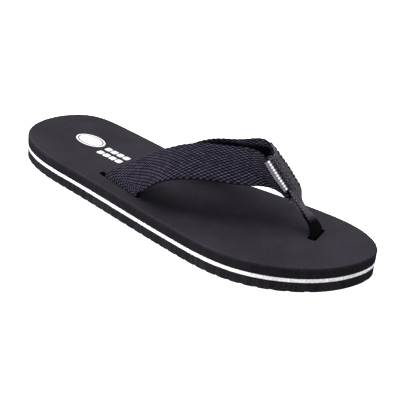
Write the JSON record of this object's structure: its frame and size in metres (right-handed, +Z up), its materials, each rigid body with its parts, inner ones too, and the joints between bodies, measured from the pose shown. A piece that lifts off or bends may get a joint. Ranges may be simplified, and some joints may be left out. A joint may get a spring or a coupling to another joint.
{
  "type": "flip flop",
  "caption": "Right-foot flip flop: a flat layered foam sole with a transversely grooved underside, two wide woven straps and a ribbed toe post with a flag label.",
  "frame": {"origin": "on the ground, under the middle of the sole's box", "axes": "+Z up, -Y towards the toe, +Y towards the heel, +X towards the big toe (medial) side"},
  "size_m": [0.099, 0.28, 0.064],
  "materials": {
    "footbed_foam": "matt charcoal foam with a fine pebbled skin",
    "white_foam": "matt white foam, cut edge",
    "outsole_foam": "matt near-black foam",
    "strap_webbing": "coarse heather weave, near-black navy with grey-purple ribs",
    "ribbed_tape": "fine ribbed tape, charcoal",
    "moulded_anchor": "moulded, matt",
    "woven_label": "fine damask weave, mid grey",
    "thread": "twisted thread, near black"
  },
  "bodies": {
    "sole_and_straps": {"footbed": "footbed_foam", "midsole": "white_foam", "outsole": "outsole_foam", "lateral_webbing": "strap_webbing", "medial_webbing": "strap_webbing", "toe_tape_outer": "ribbed_tape", "toe_tape_inner": "ribbed_tape", "toe_anchor": "moulded_anchor", "seam_thread_lateral_outer": "thread", "seam_thread_lateral_inner": "thread", "seam_thread_medial_inner": "thread", "seam_thread_medial_outer": "thread"},
    "label": {"flag_label": "woven_label"}
  },
  "joints": [
    {"name": "label_flap", "type": "hinge", "parent": "sole_and_straps", "child": "label", "pos_m": [0.01006, -0.07128, 0.04933], "axis": [-0.1757, 0.6689, 0.7223], "range_deg": [0, 105], "stiffness_Nm_per_rad": 0.00002}
  ]
}
